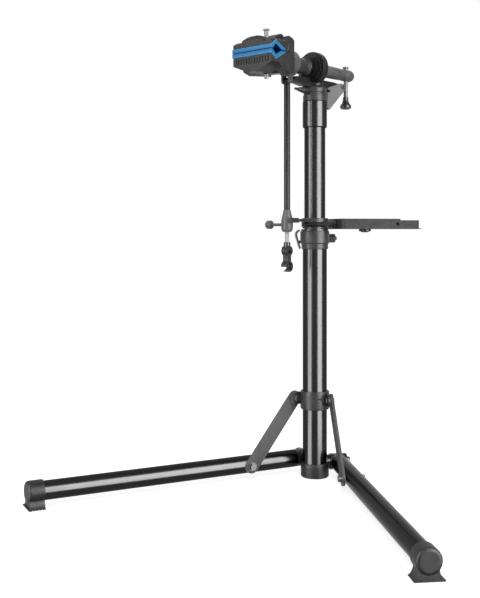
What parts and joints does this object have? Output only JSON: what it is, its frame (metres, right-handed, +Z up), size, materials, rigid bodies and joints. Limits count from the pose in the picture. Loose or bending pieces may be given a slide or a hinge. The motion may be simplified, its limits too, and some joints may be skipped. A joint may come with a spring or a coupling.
{
  "type": "bicycle repair stand",
  "caption": "Folding floor stand with telescoping round mast, strutted legs, rotating jaw clamp head, tool tray and handlebar holder rod.",
  "frame": {"origin": "on the floor at the mast's axis, under the floor cap", "axes": "+Z up along the mast, -Y toward the jaws, +X to the right seen from behind the jaws' far side"},
  "size_m": [0.796, 0.7725, 0.93],
  "materials": {
    "black_paint": "gloss",
    "grey_cast": "satin",
    "grey_plate": "satin",
    "light_cast": "satin",
    "dark_cast": "satin",
    "dark_plastic": "matte",
    "steel": "satin",
    "blue_pad": "satin"
  },
  "bodies": {
    "base": {"lower_tube": "black_paint", "base_cap": "dark_plastic", "hinge_bolts": "steel", "guide_bush": "dark_plastic", "clamp_collar": "dark_cast", "clamp_bolt": "steel"},
    "clamp_knob": {"clamp_knob": "dark_plastic"},
    "quick_lever": {"quick_lever": "grey_cast"},
    "leg_left": {"leg_tube_left": "black_paint", "leg_eye_left": "dark_plastic", "foot_left": "dark_plastic", "leg_nut_left": "steel"},
    "leg_right": {"leg_tube_right": "black_paint", "leg_eye_right": "dark_plastic", "foot_right": "dark_plastic", "leg_nut_right": "steel"},
    "strut_collar": {"strut_collar": "dark_cast", "strut_rivets": "steel"},
    "strut_left": {"strut_left": "grey_plate", "strut_bolt_left": "steel"},
    "strut_right": {"strut_right": "grey_plate", "strut_bolt_right": "steel"},
    "upper_mast": {"upper_tube": "black_paint", "slide_bush": "dark_plastic", "top_sleeve": "black_paint", "head_socket": "dark_cast", "lock_bolt": "dark_cast", "lever_pin": "steel", "tray_stop": "dark_cast", "park_hook": "dark_cast"},
    "lock_lever": {"lock_lever": "light_cast"},
    "tray": {"tray_ring": "dark_cast", "tray_pan": "black_paint", "tray_boss": "dark_plastic"},
    "head": {"head_shaft": "grey_cast", "lower_jaw": "dark_cast", "lower_pad": "blue_pad", "guide_screw": "steel", "jaw_pin": "steel", "rear_barrel": "grey_cast"},
    "upper_jaw": {"upper_jaw": "dark_cast", "upper_pad": "blue_pad"},
    "spindle": {"spindle": "dark_cast"},
    "handle_bar": {"handle_bar": "steel", "bar_knob": "dark_plastic"},
    "rod_ring": {"rod_ring": "grey_cast", "rod_pin": "steel"},
    "rod": {"rod_tube": "black_paint", "lock_cone": "dark_plastic"},
    "thumb_screw": {"thumb_screw": "dark_plastic"},
    "inner_rod": {"inner_rod": "steel", "end_clip": "dark_plastic"}
  },
  "joints": [
    {"name": "left_leg_fold", "type": "hinge", "parent": "base", "child": "leg_left", "pos_m": [-0.04668, 0.01792, 0.03], "axis": [-0.9336, 0.3584, 0], "range_deg": [0, 60]},
    {"name": "right_leg_fold", "type": "hinge", "parent": "base", "child": "leg_right", "pos_m": [0.0328, 0.03773, 0.03], "axis": [-0.6561, -0.7547, 0], "range_deg": [0, 60]},
    {"name": "collar_slide", "type": "slide", "parent": "base", "child": "strut_collar", "axis": [0, 0, 1], "range_m": [0, 0.15014]},
    {"name": "left_strut_swing", "type": "hinge", "parent": "strut_collar", "child": "strut_left", "pos_m": [-0.03861, -0.02049, 0.166], "axis": [0.9336, -0.3584, 0], "range_deg": [0, 25.44]},
    {"name": "right_strut_swing", "type": "hinge", "parent": "strut_collar", "child": "strut_right", "pos_m": [0.04371, 0.00003, 0.166], "axis": [0.6561, 0.7547, 0], "range_deg": [0, 25.44]},
    {"name": "height_slide", "type": "slide", "parent": "base", "child": "upper_mast", "axis": [0, 0, 1], "range_m": [0, 0.3]},
    {"name": "quick_lever_open", "type": "hinge", "parent": "base", "child": "quick_lever", "pos_m": [-0.04252, 0.01958, 0.508], "axis": [0, 0, -1], "range_deg": [0, 110]},
    {"name": "clamp_knob_turn", "type": "hinge", "parent": "base", "child": "clamp_knob", "pos_m": [-0.02877, 0.03195, 0.508], "axis": [0.7431, 0.6691, 0], "continuous": true},
    {"name": "tray_swivel", "type": "hinge", "parent": "upper_mast", "child": "tray", "pos_m": [0, 0, 0.533], "axis": [0, 0, 1], "range_deg": [-80, 110]},
    {"name": "lock_lever_swing", "type": "hinge", "parent": "upper_mast", "child": "lock_lever", "pos_m": [0, 0.086, 0.84], "axis": [1, 0, 0], "range_deg": [0, 40]},
    {"name": "head_turn", "type": "hinge", "parent": "upper_mast", "child": "head", "pos_m": [0, 0, 0.87], "axis": [0, -1, 0], "continuous": true},
    {"name": "spindle_turn", "type": "hinge", "parent": "head", "child": "spindle", "pos_m": [0, 0.113, 0.87], "axis": [0, 1, 0], "range_deg": [0, 720]},
    {"name": "jaw_open", "type": "hinge", "parent": "head", "child": "upper_jaw", "pos_m": [0, -0.128, 0.894], "axis": [-1, 0, 0], "range_deg": [0, 12]},
    {"name": "bar_slide", "type": "slide", "parent": "spindle", "child": "handle_bar", "axis": [0, 0, 1], "range_m": [0, 0.03]},
    {"name": "rod_ring_turn", "type": "hinge", "parent": "upper_mast", "child": "rod_ring", "pos_m": [0, -0.094, 0.87], "axis": [0, 1, 0], "range_deg": [0, 90]},
    {"name": "rod_swing", "type": "hinge", "parent": "rod_ring", "child": "rod", "pos_m": [0, -0.094, 0.834], "axis": [-1, 0, 0], "range_deg": [0, 50]},
    {"name": "thumb_screw_turn", "type": "hinge", "parent": "rod", "child": "thumb_screw", "pos_m": [-0.04, -0.094, 0.537], "axis": [-1, 0, 0], "continuous": true},
    {"name": "inner_rod_slide", "type": "slide", "parent": "rod", "child": "inner_rod", "axis": [0, 0, -1], "range_m": [0, 0.2]}
  ],
  "couplings": [
    {"joint": "right_leg_fold", "follows": "left_leg_fold", "ratio": 1},
    {"joint": "collar_slide", "follows": "left_leg_fold", "m_per_rad": 0.14338},
    {"joint": "left_strut_swing", "follows": "left_leg_fold", "ratio": 0.42395},
    {"joint": "right_strut_swing", "follows": "left_leg_fold", "ratio": 0.42395},
    {"joint": "jaw_open", "follows": "spindle_turn", "ratio": 0.016667}
  ]
}
